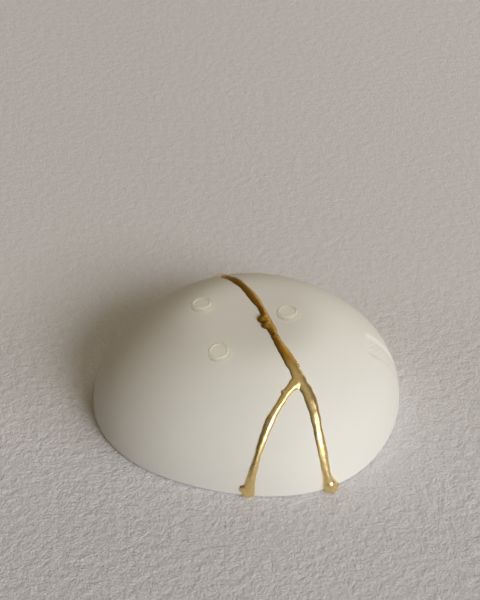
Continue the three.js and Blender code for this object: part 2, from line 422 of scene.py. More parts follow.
class Bench:
    """Adds nodes to one node tree and joins them."""

    def __init__(self, tree: bpy.types.NodeTree) -> None:
        """Keeps the tree that the nodes go into."""
        self.tree = tree

    def feed(self, value: object, socket: bpy.types.NodeSocket) -> None:
        """Joins a socket to an input, or sets the input to a plain value.

        Args:
            value: A socket, or a number, colour or other value.
            socket: The input.
        """
        if isinstance(value, bpy.types.NodeSocket):
            self.tree.links.new(value, socket)
        else:
            socket.default_value = value

    def add(self, kind: str, settings: dict | None = None, **values: object) -> bpy.types.Node:
        """Adds a node.

        Args:
            kind: The node's type name.
            settings: The node's own properties.
            **values: Input sockets by name, with underscores for spaces, each a value or a socket to join.

        Returns:
            The node.
        """
        node = self.tree.nodes.new(kind)
        for name, value in (settings or {}).items():
            setattr(node, name, value)
        for name, value in values.items():
            self.feed(value, next(s for s in node.inputs if s.name == name.replace("_", " ") and s.enabled))
        return node

    def part_of(self, socket: bpy.types.NodeSocket, axis: str) -> bpy.types.NodeSocket:
        """One axis of a vector."""
        return self.add("ShaderNodeSeparateXYZ", Vector=socket).outputs[axis]

    def sum_of(
        self, first: bpy.types.NodeSocket, second: bpy.types.NodeSocket, weight: float
    ) -> bpy.types.NodeSocket:
        """The first value plus the second times a weight.

        Args:
            first: The first value.
            second: The second value.
            weight: How much of the second is added.

        Returns:
            The socket with the result.
        """
        node = self.add("ShaderNodeMath", {"operation": "MULTIPLY_ADD"})
        for value, at in ((second, 0), (weight, 1), (first, 2)):
            self.feed(value, node.inputs[at])
        return node.outputs[0]

    def ramp(
        self, value: bpy.types.NodeSocket, start: float = 0.0, end: float = 1.0, low: float = 0.0,
        high: float = 1.0, smooth: bool = False
    ) -> bpy.types.NodeSocket:
        """Maps the values from start to end onto low to high, held at the ends.

        Args:
            value: The value.
            start: Where the ramp starts.
            end: Where it ends, which may lie below its start.
            low: What comes out at the start.
            high: What comes out at the end.
            smooth: Whether the ramp eases in and out.

        Returns:
            The socket with the result.
        """
        kind = {"interpolation_type": "SMOOTHSTEP" if smooth else "LINEAR"}
        ends = {"From_Min": start, "From_Max": end, "To_Min": low, "To_Max": high}
        return self.add("ShaderNodeMapRange", kind, Value=value, **ends).outputs["Result"]

    def mix(self, share: bpy.types.NodeSocket, first: object, second: tuple | float) -> bpy.types.NodeSocket:
        """A colour or a number between two.

        Args:
            share: 0 for the first, 1 for the second.
            first: A colour, a number or a socket.
            second: A colour or a number.

        Returns:
            The socket with the result.
        """
        kind = "RGBA" if isinstance(second, tuple) else "FLOAT"
        node = self.add("ShaderNodeMix", {"data_type": kind})
        first_at, second_at, result_at = MIX_SOCKETS[kind]
        for value, at in ((share, 0), (first, first_at), (second, second_at)):
            self.feed((*value, 1) if isinstance(value, tuple) else value, node.inputs[at])
        return node.outputs[result_at]

    def lay_over(
        self, socket: bpy.types.NodeSocket, share: bpy.types.NodeSocket, second: tuple | float
    ) -> None:
        """Mixes a second colour or number, by a share, over what already feeds an input."""
        self.feed(self.mix(share, socket.links[0].from_socket, second), socket)


def hand_finish_group() -> bpy.types.ShaderNodeTree:
    """The shared effect of a surface worked by hand, built once.

    Returns:
        A group with Vector, Slow Scale and Fine Scale in, and the masks Tone (slow patches) and Grain (fine
        unevenness) out, each from 0 to 1.
    """
    name = "hand_finish"
    if name in bpy.data.node_groups:
        return bpy.data.node_groups[name]
    tree = bpy.data.node_groups.new(name, "ShaderNodeTree")
    tree.interface.new_socket("Vector", in_out="INPUT", socket_type="NodeSocketVector")
    for label in ("Slow Scale", "Fine Scale"):
        tree.interface.new_socket(label, in_out="INPUT", socket_type="NodeSocketFloat")
    for label in ("Tone", "Grain"):
        tree.interface.new_socket(label, in_out="OUTPUT", socket_type="NodeSocketFloat")
    bench = Bench(tree)
    given = bench.add("NodeGroupInput").outputs
    tone = bench.add("ShaderNodeTexNoise", Vector=given["Vector"], Scale=given["Slow Scale"], Detail=3.0)
    grain = bench.add("ShaderNodeTexNoise", Vector=given["Vector"], Scale=given["Fine Scale"], Detail=4.0)
    bench.add("NodeGroupOutput", Tone=tone.outputs[0], Grain=grain.outputs[0])
    return tree


@dataclass(frozen=True)
class Finish:
    """What every finish shares: its name, the two colours it drifts between, and how uneven it is."""

    name: str
    pale: tuple[float, float, float]
    deep: tuple[float, float, float]
    smooth: float
    rough: float
    slow_scale: float
    fine_scale: float
    relief: float
    grain_share: float = 0.12

    def start(self) -> tuple[Bench, bpy.types.Material, bpy.types.Node]:
        """Makes the material with its shader and the hand-finish group, joined for colour and relief.

        Returns:
            The bench, the material and the shader.
        """
        material = bpy.data.materials.new(self.name)
        material.use_nodes = True
        material.node_tree.nodes.clear()
        bench = Bench(material.node_tree)
        place = bench.add("ShaderNodeTexCoord").outputs["Object"]
        worked = bench.add("ShaderNodeGroup", {"node_tree": hand_finish_group()}, Vector=place,
                           Slow_Scale=self.slow_scale, Fine_Scale=self.fine_scale)
        tone = worked.outputs["Tone"]
        height = bench.sum_of(tone, worked.outputs["Grain"], self.grain_share)
        bump = bench.add("ShaderNodeBump", Strength=1.0, Distance=self.relief * METRES, Height=height)
        shader = bench.add("ShaderNodeBsdfPrincipled", Base_Color=bench.mix(tone, self.pale, self.deep),
                           Roughness=bench.ramp(tone, low=self.smooth, high=self.rough),
                           Normal=bump.outputs["Normal"])
        bench.add("ShaderNodeOutputMaterial", Surface=shader.outputs[0])
        return bench, material, shader


@dataclass(frozen=True)
class PorcelainFinish(Finish):
    """Satin white porcelain with a warm tone, faint patches and a fine matt grain."""

    name: str = "satin_porcelain"
    pale: tuple[float, float, float] = (0.80, 0.775, 0.715)
    deep: tuple[float, float, float] = (0.76, 0.735, 0.675)
    smooth: float = 0.68
    rough: float = 0.78
    slow_scale: float = 45.0
    fine_scale: float = 2600.0
    relief: float = 0.10
    ior: float = 1.5

    def material(self) -> bpy.types.Material:
        """The finished material."""
        _, material, shader = self.start()
        shader.inputs["IOR"].default_value = self.ior
        return material


@dataclass(frozen=True)
class GoldFinish(Finish):
    """Bright gold on the wall of the bowl, with a painted dark brown reflection and a duller roughness over
    its base.
    """

    name: str = "burnished_gold"
    pale: tuple[float, float, float] = (0.90, 0.71, 0.38)
    deep: tuple[float, float, float] = (0.77, 0.56, 0.22)
    smooth: float = 0.20
    rough: float = 0.34
    slow_scale: float = 260.0
    fine_scale: float = 2400.0
    relief: float = 0.09
    # Painted dark reflection: dark brown over the gold on the base, standing for the dark room it reflects,
    # with a duller roughness
    painted_dark_reflection: tuple[float, float, float] = (0.46, 0.26, 0.042)
    painted_reflection_rough: float = 0.38
    metallic: float = 0.84
    painted_reflection_ends_m: tuple[float, float, float, float] = (-0.029, -0.021, 0.018, 0.03)

    def material(self) -> bpy.types.Material:
        """The finished material, with the painted dark reflection's colour and roughness mixed in over a band
        between front and back.
        """
        bench, material, shader = self.start()
        back = bench.part_of(bench.add("ShaderNodeTexCoord").outputs["Object"], "Y")
        ends = (self.painted_reflection_ends_m[:2], self.painted_reflection_ends_m[2:])
        near, far = (bench.ramp(back, *pair, smooth=True) for pair in ends)
        # Painted dark reflection: 1 over the base, between the two ramps, 0 at the front and the back
        painted_dark_reflection = bench.sum_of(near, far, -1.0)
        bench.lay_over(shader.inputs["Base Color"], painted_dark_reflection, self.painted_dark_reflection)
        bench.lay_over(shader.inputs["Roughness"], painted_dark_reflection, self.painted_reflection_rough)
        shader.inputs["Metallic"].default_value = self.metallic
        return material


@dataclass(frozen=True)
class ClearPadFinish(Finish):
    """Clear soft plastic with a faint warm tint, see-through by the shader's own alpha."""

    name: str = "clear_soft_plastic"
    pale: tuple[float, float, float] = (0.80, 0.775, 0.67)
    deep: tuple[float, float, float] = (0.76, 0.73, 0.61)
    smooth: float = 0.12
    rough: float = 0.22
    slow_scale: float = 300.0
    fine_scale: float = 1800.0
    relief: float = 0.02
    alpha: float = 0.42
    ior: float = 1.47
    # Painted shade: the darker amber laid over the pad's edge and a ring inside its ridge
    rim: tuple[float, float, float] = (0.52, 0.46, 0.30)

    def material(self) -> bpy.types.Material:
        """The finished material, with painted shade in the rim's colour mixed in where the mesh's own mask
        says.
        """
        bench, material, shader = self.start()
        mask = bench.add("ShaderNodeAttribute", {"attribute_name": PAINTED_RIM_SHADE_MASK}).outputs["Fac"]
        bench.lay_over(shader.inputs["Base Color"], mask, self.rim)
        shader.inputs["Alpha"].default_value = self.alpha
        shader.inputs["IOR"].default_value = self.ior
        return material


@dataclass(frozen=True)
class CrackMap:
    """The cracks over the disc. Each station has its x, its y, and the width and height of the gold there.

    The main crack runs from the back rim over the top to the fork, and a leg runs from the fork to the
    front rim on each side of the front shard.
    """

    main: tuple = (
        (-0.412, 0.947, 3.6, 0.6), (-0.399, 0.917, 3.6, 0.6), (-0.33, 0.82, 3.0, 0.6), (-0.25, 0.7, 3.0, 0.6),
        (-0.178, 0.55, 3.0, 0.65), (-0.146, 0.455, 3.2, 0.75), (-0.1115, 0.3664, 3.5, 0.8),
        (-0.0538, 0.2606, 3.5, 0.8), (0.0145, 0.1279, 3.2, 0.75), (0.0507, 0.0372, 2.8, 0.7),
        (0.0666, -0.0361, 4.2, 0.85), (0.0818, -0.0723, 3.4, 0.7), (0.0908, -0.104, 2.9, 0.65),
        (0.1122, -0.1689, 3.1, 0.7), (0.149, -0.2449, 4.1, 0.85), (0.1775, -0.2987, 4.3, 0.85),
        (0.206, -0.3498, 4.6, 0.9),
    )
    left_leg: tuple = (
        (0.206, -0.3498, 4.6, 0.9), (0.161, -0.4125, 3.2, 0.8), (0.134, -0.467, 2.7, 0.75),
        (0.0942, -0.5528, 3.2, 0.8), (0.0604, -0.66, 2.9, 0.75), (0.0317, -0.773, 2.4, 0.7),
        (0.0054, -0.887, 3.5, 0.85), (-0.0076, -0.9594, 4.5, 0.85), (-0.01, -1.03, 4.4, 0.45),
    )
    right_leg: tuple = (
        (0.206, -0.3498, 4.6, 0.9), (0.2464, -0.4050, 4.4, 0.85), (0.2800, -0.4745, 4.2, 0.8),
        (0.3155, -0.5665, 3.3, 0.65), (0.3370, -0.6150, 3.6, 0.75), (0.3715, -0.6825, 3.7, 0.75),
        (0.4115, -0.7565, 3.3, 1.15), (0.4568, -0.8189, 4.1, 2.2), (0.496, -0.8576, 5.2, 2.7),
        (0.515, -0.893, 5.4, 2.2),
    )

    path_points: int = 3000

    def parts(self) -> tuple[tuple, tuple, tuple]:
        """The three cracks that meet at the fork."""
        return self.main, self.left_leg, self.right_leg

    def branch(self, *parts: tuple) -> np.ndarray:
        """A smooth path through the stations of one crack, or of cracks that follow each other."""
        rows = [parts[0]] + [part[1:] for part in parts[1:]]
        return smooth_path(np.array([station for row in rows for station in row]), self.path_points)


@dataclass(frozen=True)
class PressedPanel:
    """The shallow panel pressed into the right wall, with rows of slanting strokes that are no letters."""

    angle: float = 2.4
    share: float = 0.7
    wide: float = 9.8
    long: float = 20.5
    slant: float = 0.2
    corner: float = 1.4
    depth: float = 0.58
    soft: float = 1.0
    back_soft: float = 2.6
    wall_scale: float = 70.0
    stroke_rows: int = 3
    strokes_in_row: int = 7
    stroke_long: float = 1.7
    stroke_wide: float = 0.5
    stroke_depth: float = 0.16
    row_pitch: float = 0.3
    row_stray: float = 0.2
    stroke_pitch: float = 0.125
    stroke_stray: float = 0.25
    stroke_slants: tuple[float, float] = (25, 60)
    stroke_reaches: tuple[float, float] = (0.35, 0.6)
    seed: int = 4

    def places(self, form: BowlForm, x: np.ndarray, y: np.ndarray) -> tuple[np.ndarray, np.ndarray]:
        """Places on the wall, measured from the panel's middle.

        Args:
            form: The bowl's form.
            x: Disc coordinate to the right.
            y: Disc coordinate to the back.

        Returns:
            Millimetres across the panel and millimetres down the wall.
        """
        share, angle = np.hypot(x, y), np.arctan2(y, x)
        down = (share - self.share) * self.wall_scale
        across = (angle - math.radians(self.angle)) * form.radius * np.sin(share * np.pi / 2)
        return across - self.slant * down, down

    def press(self, form: BowlForm, x: np.ndarray, y: np.ndarray) -> np.ndarray:
        """How deep the wall is pressed in.

        The panel is a rounded rectangle: the distance past its straight sides and corners, eased over the
        soft edge, which is wider on the side away from the seam's legs, times the depth. Each stroke is a
        short slanting groove, eased over its width.

        Args:
            form: The bowl's form.
            x: Disc coordinate to the right.
            y: Disc coordinate to the back.

        Returns:
            Depth for each point.
        """
        across, down = self.places(form, x, y)
        past_x = np.abs(across) - self.wide / 2 + self.corner
        past_y = np.abs(down) - self.long / 2 + self.corner
        outside = np.hypot(np.maximum(past_x, 0), np.maximum(past_y, 0))
        outside = outside + np.minimum(np.maximum(past_x, past_y), 0) - self.corner
        soft = self.soft + (self.back_soft - self.soft) * ease(across, 0, self.wide / 2)
        depth = self.depth * ease(0.5 - outside / soft, 0, 1)
        chance = np.random.default_rng(self.seed)
        for row in range(self.stroke_rows):
            for place in range(self.strokes_in_row):
                middle_x = (row - (self.stroke_rows - 1) / 2) * self.wide * self.row_pitch
                middle_x += chance.uniform(-self.row_stray, self.row_stray)
                middle_y = (place - (self.strokes_in_row - 1) / 2) * self.long * self.stroke_pitch
                middle_y += chance.uniform(-self.stroke_stray, self.stroke_stray)
                slant = math.radians(chance.uniform(*self.stroke_slants))
                along = (across - middle_x) * math.cos(slant) + (down - middle_y) * math.sin(slant)
                aside = (down - middle_y) * math.cos(slant) - (across - middle_x) * math.sin(slant)
                reach = self.stroke_long * chance.uniform(*self.stroke_reaches)
                away = np.hypot(np.maximum(np.abs(along) - reach, 0), aside)
                depth = depth + self.stroke_depth * ease(-away, -self.stroke_wide, 0)
        return depth


@dataclass
class Shard:
    """One piece of broken porcelain: two faces over the disc, closed along the cracks and round the lip."""

    name: str
    node: str
    form: BowlForm
    gap: float = 0.2
    rim_fill_share: float = 0.36
    rim_fill_low: float = 3.6
    rim_fill_high: float = 5.2
    lip_rows: int = 9
    panel: PressedPanel | None = None

    def broken_edge(self, path: np.ndarray, toward: float, count: int) -> np.ndarray:
        """The shard's edge, a gap to one side of the crack's middle, and wider where gold fills the rim.

        Args:
            path: Disc x, y, gold width and gold height along the crack.
            toward: 1 for the left of the way along the path, -1 for the right.
            count: Number of points wanted.

        Returns:
            Disc x and y, evenly spaced along the bowl, within the wall's edge.
        """
        x, y, width, _ = path.T
        share = np.hypot(x, y)
        height = self.form.surface(x, y, Side.OUTER)[:, 2]
        fill = 1 - ease(height, self.rim_fill_low, self.rim_fill_high)
        gap = self.gap + (self.rim_fill_share * width - self.gap) * fill
        scale = self.form.radius * np.sin(np.minimum(share, 1) * np.pi / 2) / np.maximum(share, TINY)
        offset = path[:, :2] + toward * to_the_left(path) * (gap / scale)[:, None]
        edge = self.form.edge_share(Side.OUTER)
        offset = offset[np.hypot(offset[:, 0], offset[:, 1]) <= edge]
        return even_path(offset, self.form, count)

    def sheet(self, x: np.ndarray, y: np.ndarray, side: Side) -> np.ndarray:
        """One face of the shard, with rows round the lip added after the grid's last, on the wall's edge.

        Args:
            x: Disc x of the grid, rim last along the second axis.
            y: Disc y of the grid.
            side: Face of the wall.

        Returns:
            Points of the grid.
        """
        edge = self.form.edge_share(side)
        shrink = edge / self.form.edge_share(Side.OUTER)
        angle = np.arctan2(y[:, -1:], x[:, -1:])
        rounding = np.linspace(0, self.form.lip * math.pi / 2, self.lip_rows + 1)[1:]
        travel = np.append(rounding, self.form.lip_travel())[None, :]
        share = edge + travel / self.form.radius
        x = np.concatenate([x * shrink, share * np.cos(angle)], 1)
        y = np.concatenate([y * shrink, share * np.sin(angle)], 1)
        points = self.form.surface(x, y, side)
        if self.panel and side is Side.OUTER:
            points = points - self.form.normals(x, y, side) * self.panel.press(self.form, x, y)[..., None]
        return points

    def build_from(self, x: np.ndarray, y: np.ndarray) -> bpy.types.Object:
        """Makes the shard from its grid over the disc."""
        outer, inner = self.sheet(x, y, Side.OUTER), self.sheet(x, y, Side.INNER)
        cells = np.ones((outer.shape[0] - 1, outer.shape[1] - 1), bool)
        return make_piece(self.name, [closed_blanket(outer, inner, cells)], self.node)


@dataclass
class SideShard(Shard):
    """A shard between the crack that crosses the whole bowl and one side of the rim."""

    path: np.ndarray = field(default_factory=lambda: np.zeros((0, 4)))
    toward: float = 1.0
    sweep: float = -1.0
    columns: np.ndarray = field(default_factory=lambda: np.linspace(0, 1, 190))
    rows: np.ndarray = field(default_factory=lambda: np.linspace(0, 1, 110))
    pairing: tuple = ((0.0, 0.0), (1.0, 1.0))
    edge_points: int = 1500

    def build(self) -> bpy.types.Object:
        """Makes the shard from straight lines over the disc, from points of the crack to those of the rim."""
        edge = self.broken_edge(self.path, self.toward, self.edge_points)
        rim = self.form.edge_share(Side.OUTER)
        edge[[0, -1]] *= rim / np.hypot(edge[[0, -1], 0], edge[[0, -1], 1])[:, None]
        first, last = (math.atan2(*edge[end][::-1]) for end in (0, -1))
        last = first + self.sweep * ((last - first) * self.sweep % (2 * math.pi))
        angle = first + (last - first) * self.columns
        partner = np.interp(self.columns, *np.array(self.pairing).T)
        at = np.linspace(0, 1, len(edge))
        start_x, start_y = (np.interp(partner, at, edge[:, axis])[:, None] for axis in (0, 1))
        share = self.rows[None, :]
        x = start_x * (1 - share) + rim * np.cos(angle)[:, None] * share
        y = start_y * (1 - share) + rim * np.sin(angle)[:, None] * share
        return self.build_from(x, y)


@dataclass
class FrontShard(Shard):
    """The small shard between the two legs of the crack."""

    left_path: np.ndarray = field(default_factory=lambda: np.zeros((0, 4)))
    right_path: np.ndarray = field(default_factory=lambda: np.zeros((0, 4)))
    below_fork: float = 0.045
    across: int = 60
    down: int = 110

    def build(self) -> bpy.types.Object:
        """Makes the shard from arcs over the disc, from each point of one leg to its fellow on the other."""
        start = int(self.below_fork * len(self.left_path))
        left = self.broken_edge(self.left_path[start:], 1.0, self.down)
        right = self.broken_edge(self.right_path[start:], -1.0, self.down)
        rim = self.form.edge_share(Side.OUTER)
        shares, angles = [], []
        for edge in (left, right):
            edge[-1] *= rim / math.hypot(*edge[-1])
            shares.append(np.hypot(edge[:, 0], edge[:, 1])[None, :])
            angles.append(np.arctan2(edge[:, 1], edge[:, 0])[None, :])
        mix = np.linspace(0, 1, self.across)[:, None]
        share = shares[0] * (1 - mix) + shares[1] * mix
        angle = angles[0] * (1 - mix) + angles[1] * mix
        return self.build_from(share * np.cos(angle), share * np.sin(angle))


@dataclass(frozen=True)
class Drop:
    """A round bead of gold beside or on the seam: its place over the disc, its radius and its height."""

    x: float
    y: float
    radius: float
    crown: float


@dataclass
class GoldSeam:
    """The raised gold line that holds the shards: a bead outside, a narrower one inside and a web between."""

    form: BowlForm
    cracks: CrackMap
    drops: tuple[Drop, ...] = (
        Drop(0.0523, -0.0165, 2.35, 1.4), Drop(0.0664, -0.0560, 2.2, 1.35), Drop(0.0985, -0.1300, 1.35, 1.1),
        Drop(0.1935, -0.2860, 0.85, 0.8), Drop(0.1412, -0.4213, 0.95, 0.6), Drop(-0.0367, -0.9472, 1.7, 0.8),
        Drop(0.4680, -0.8320, 2.4, 2.8), Drop(0.5334, -0.8450, 1.5, 1.3), Drop(0.2008, -0.3790, 1.6, 0.35),
    )
    fullness: float = 0.74
    buried: float = 0.4
    under: float = 0.75
    fillet: float = 0.35
    step: float = 0.0024
    inner_step: float = 0.0042
    inner_wide: float = 0.7
    inner_high: float = 0.6
    wobble: float = 0.1
    wobble_length: float = 4.2
    lump_size: float = 0.05
    lump_length: float = 5.0
    fine_lumps: float = 0.5
    fine_length_share: float = 2.3
    web: float = 0.17
    web_end: float = 0.005
    web_points: int = 160
    web_layers: int = 4
    web_depths: tuple[float, float] = (0.1, 0.9)
    line_points: int = 420
    batch: int = 1500
    grid_reach: float = 1.05
    stroke_reach: float = 0.075
    blurs: int = 2
    lumps_full_at: float = 0.5
    sunk_share: float = 0.8
    wobble_seed: int = 5
    lump_seed: int = 3
    fine_lump_seed: int = 8
    name: str = "gold_seam_line"
    node: str = "gold_seam"

    def above_wall(self, crown: np.ndarray, square: np.ndarray) -> np.ndarray:
        """The crown times one less the square, to the power of the fullness, and negative past the edge."""
        rest = np.clip(1 - square, -1, 1)
        return crown * np.sign(rest) * np.abs(rest) ** self.fullness

    def stroke_height(self, points: np.ndarray, path: np.ndarray, side: Side) -> np.ndarray:
        """Height of one stroke of gold over points of the wall.

        With d the distance to the stroke's middle as a share of half its width, the height is the crown
        times one less d squared, to the power of the fullness, and goes below the wall by the same rule
        past the edge.

        Args:
            points: Points of the wall, one row each.
            path: Disc x, y, gold width and gold height along the stroke.
            side: Face of the wall.

        Returns:
            Height above the wall, negative where the stroke has sunk into it.
        """
        wide, high = (1.0, 1.0) if side is Side.OUTER else (self.inner_wide, self.inner_high)
        line = even_path(path, self.form, self.line_points)
        middle = self.form.surface(line[:, 0], line[:, 1], side)
        run = np.gradient(middle, axis=0)
        spacing = np.linalg.norm(run, axis=1)
        run /= np.maximum(spacing, TINY)[:, None]
        uneven = hand_lumps(middle, self.wobble_length, self.wobble_seed)
        half = line[:, 2] / 2 * wide * (1 + self.wobble * uneven)
        crown = line[:, 3] * high
        heights = []
        for part in np.array_split(points, max(1, len(points) // self.batch)):
            nearest = np.linalg.norm(part[:, None, :] - middle[None, :, :], axis=2).argmin(1)
            away = part - middle[nearest]
            along = np.einsum("ij,ij->i", away, run[nearest])
            along = np.clip(along, -spacing[nearest], spacing[nearest])
            square = np.maximum(np.einsum("ij,ij->i", away, away) - along**2, 0) / half[nearest] ** 2
            heights.append(self.above_wall(crown[nearest], square))
        return np.concatenate(heights)

    def drop_height(self, points: np.ndarray, drop: Drop) -> np.ndarray:
        """Height of one drop, by the stroke's rule from the distance to its middle."""
        middle = self.form.surface(np.array([drop.x]), np.array([drop.y]), Side.OUTER)
        return self.above_wall(drop.crown, ((points - middle) ** 2).sum(1) / drop.radius**2)

    def gold_height(self, points: np.ndarray, strokes: list[np.ndarray], side: Side) -> np.ndarray:
        """The smooth maximum of the heights of all strokes and, on the outer face, of all drops.

        Args:
            points: Points of the wall, one row each.
            strokes: Paths of the strokes.
            side: Face of the wall.

        Returns:
            Height above the wall, negative where the gold has sunk into it.
        """
        heights = [self.stroke_height(points, path, side) for path in strokes]
        if side is Side.OUTER:
            heights += [self.drop_height(points, drop) for drop in self.drops]
        return reduce(lambda first, second: smooth_max(first, second, self.fillet), heights)

    def near_strokes(self, strokes: list[np.ndarray], step: float, count: int) -> np.ndarray:
        """Which points of a square grid over the disc lie close to a stroke.

        Args:
            strokes: Paths of the strokes.
            step: Distance between two points of the grid.
            count: Number of points from the middle of the grid to its edge.

        Returns:
            True for each point within reach of a stroke.
        """
        near = np.zeros((2 * count + 1, 2 * count + 1), bool)
        reach = int(self.stroke_reach / step)
        around = np.arange(-reach, reach + 1)
        offsets = np.stack(np.meshgrid(around, around, indexing="ij"), -1).reshape(-1, 2)
        for path in strokes:
            places = np.unique(np.rint(path[:, :2] / step).astype(int) + count, axis=0)
            spots = np.clip(places[:, None, :] + offsets[None, :, :], 0, 2 * count).reshape(-1, 2)
            near[spots[:, 0], spots[:, 1]] = True
        return near

    def bead(self, side: Side) -> tuple[np.ndarray, np.ndarray]:
        """The bead on one face, as a height over a square grid of the disc.

        The height is the smooth maximum of the strokes and drops, blurred, with soft lumps. The grid
        keeps the cells where it isn't sunk right under the wall, so the seam's edge is where the height
        crosses zero.

        Args:
            side: Face of the wall.

        Returns:
            Vertices and faces of a closed shell.
        """
        step = self.step if side is Side.OUTER else self.inner_step
        count = int(self.grid_reach / step)
        line = np.arange(-count, count + 1) * step
        strokes = [self.cracks.branch(part) for part in self.cracks.parts()]
        near = self.near_strokes(strokes, step, count)
        x, y = np.meshgrid(line, line, indexing="ij")
        share = np.hypot(x, y)
        wrap = self.form.wrap_share(side)
        near &= share < wrap + 2 * step
        squeeze = np.minimum(1, wrap / np.maximum(share, TINY))
        x, y = x * squeeze, y * squeeze
        points = self.form.surface(x, y, side)
        height = np.full(x.shape, -self.buried)
        height[near] = np.maximum(self.gold_height(points[near], strokes, side), -self.buried)
        for _ in range(self.blurs):
            height = blurred(height)
        fine = hand_lumps(points, self.lump_length / self.fine_length_share, self.fine_lump_seed)
        lumps = hand_lumps(points, self.lump_length, self.lump_seed) + self.fine_lumps * fine
        height = height + self.lump_size * lumps * ease(height, 0.0, self.lumps_full_at)
        kept = np.logical_and.reduce(cell_corners(near))
        highest = np.maximum.reduce(cell_corners(height))
        kept &= (highest > -self.buried * self.sunk_share) & (np.minimum.reduce(cell_corners(share)) < wrap)
        normal = self.form.normals(x, y, side)
        crest = points + normal * height[..., None]
        root = points - normal * self.under
        crest[..., 2], root[..., 2] = np.maximum(crest[..., 2], 0), np.maximum(root[..., 2], 0)
        return closed_blanket(crest, root, kept) if side is Side.OUTER else closed_blanket(root, crest, kept)

    def web_shell(self, part: tuple) -> tuple[np.ndarray, np.ndarray]:
        """The thin sheet of gold in the crack itself, between the two faces of the wall.

        Args:
            part: Stations of one crack.

        Returns:
            Vertices and faces of a closed shell.
        """
        path = self.cracks.branch(part)
        end = self.form.edge_share(Side.INNER) - self.web_end
        path = even_path(path[np.hypot(path[:, 0], path[:, 1]) < end], self.form, self.web_points)
        aside = to_the_left(path) * self.web / self.form.radius
        sides = np.stack([path[:, :2] - aside, path[:, :2] + aside], 1)
        outer, inner = (self.form.surface(sides[..., 0], sides[..., 1], side) for side in Side)
        depth = np.linspace(*self.web_depths, self.web_layers)[:, None, None, None]
        layers = outer[None] * (1 - depth) + inner[None] * depth
        cells = np.ones((len(path) - 1, self.web_layers - 1), bool)
        return closed_blanket(layers[:, :, 0].swapaxes(0, 1), layers[:, :, 1].swapaxes(0, 1), cells)

    def build(self) -> bpy.types.Object:
        """Makes the seam."""
        shells = [self.bead(side) for side in Side] + [self.web_shell(part) for part in self.cracks.parts()]
        return make_piece(self.name, shells, self.node, sharp=80.0)


@dataclass
class FootPad:
    """A clear stick-on pad: a disc with a rounded edge and a moulded ring on top, square to the wall."""

    name: str
    node: str
    form: BowlForm
    x: float
    y: float
    radius: float = 4.0
    stands: float = 1.55
    sunk: float = 0.25
    edge: float = 0.7
    ridge_at: float = 0.76
    ridge_wide: float = 0.1
    ridge_high: float = 0.28
    flat_from: float = 0.6
    flat_rings: tuple[float, ...] = (0.4, 0.2, 0.0)
    edge_steps: int = 8
    side_steps: int = 4
    top_steps: int = 24
    around: int = 72
    # Where the painted shade lies: the pad's edge, and a thin ring inside its ridge
    rim_shade_shares: tuple[float, float] = (0.9, 0.97)
    rim_shade_heights: tuple[float, float] = (-0.5, 0.2)
    inner_ring_shade: float = 0.55
    inner_ring_inset: float = 1.1
    inner_ring_wide: float = 0.035

    def profile(self) -> tuple[np.ndarray, np.ndarray]:
        """The pad's section, from the middle of its base round its edge to the middle of its top.

        The edge is a quarter circle. The top is flat but for a moulded ridge, a bell curve of the
        distance from the ring that it runs along.

        Returns:
            Radius and height along the section.
        """
        turn = np.linspace(0, np.pi / 2, self.edge_steps + 1)
        round_r = self.radius - self.edge + self.edge * np.cos(turn)
        round_z = self.stands - self.ridge_high - self.edge + self.edge * np.sin(turn)
        ridge_part = np.linspace(1 - self.edge / self.radius, self.flat_from, self.top_steps + 1)[1:]
        top_r = self.radius * np.append(ridge_part, self.flat_rings)
        past = (top_r / self.radius - self.ridge_at) / self.ridge_wide
        top_z = round_z[-1] + self.ridge_high * np.exp(-4 * past**2)
        side_z = np.linspace(-self.sunk, round_z[0], self.side_steps + 1)[:-1]
        r = np.concatenate([[0, self.radius * 0.5], np.full(self.side_steps, self.radius), round_r, top_r])
        z = np.concatenate([[-self.sunk, -self.sunk], side_z, round_z, top_z])
        return r, z

    def paint_rim_shade(self, pad: bpy.types.Object, middle: np.ndarray, up: np.ndarray) -> None:
        """Writes the mask of painted shade on the pad's edge and on a thin ring just inside its ridge.

        The edge's shade is a smooth step of the distance from the pad's axis, and the ring's a bell curve of
        it.

        Args:
            pad: The pad's object.
            middle: Point of the wall under the pad.
            up: Direction of the pad's axis.
        """
        places = np.empty(3 * len(pad.data.vertices))
        pad.data.vertices.foreach_get("co", places)
        away = places.reshape(-1, 3) / METRES - middle
        height = away @ up
        share = np.linalg.norm(away - height[:, None] * up, axis=1) / self.radius
        outside = ease(share, *self.rim_shade_shares) * ease(height, *self.rim_shade_heights)
        past = (share - self.ridge_at + self.inner_ring_inset * self.ridge_wide) / self.inner_ring_wide
        mask = pad.data.attributes.new(PAINTED_RIM_SHADE_MASK, "FLOAT", "POINT")
        mask.data.foreach_set("value", outside + self.inner_ring_shade * np.exp(-(past**2)))

    def build(self) -> bpy.types.Object:
        """Turns the section round the wall's normal: the middle, plus radius along a ring, plus height."""
        place = (np.array([self.x]), np.array([self.y]))
        middle = self.form.surface(*place, Side.OUTER)[0]
        up = self.form.normals(*place, Side.OUTER)[0]
        right = np.cross((0.0, 1.0, 0.0), up)
        right /= np.linalg.norm(right)
        back = np.cross(up, right)
        r, z = self.profile()
        turn = np.arange(self.around) * 2 * np.pi / self.around
        ring = np.cos(turn)[:, None] * right + np.sin(turn)[:, None] * back
        points = middle + ring[:, None, :] * r[None, :, None] + z[None, :, None] * up
        index = np.arange(points.shape[0] * points.shape[1]).reshape(points.shape[:2])
        after = np.roll(index, -1, axis=0)
        faces = np.stack([index[:, :-1], after[:, :-1], after[:, 1:], index[:, 1:]], -1).reshape(-1, 4)
        pad = make_piece(self.name, [(points.reshape(-1, 3), faces)], self.node, sharp=60.0)
        self.paint_rim_shade(pad, middle, up)
        pad.visible_shadow = False
        return pad


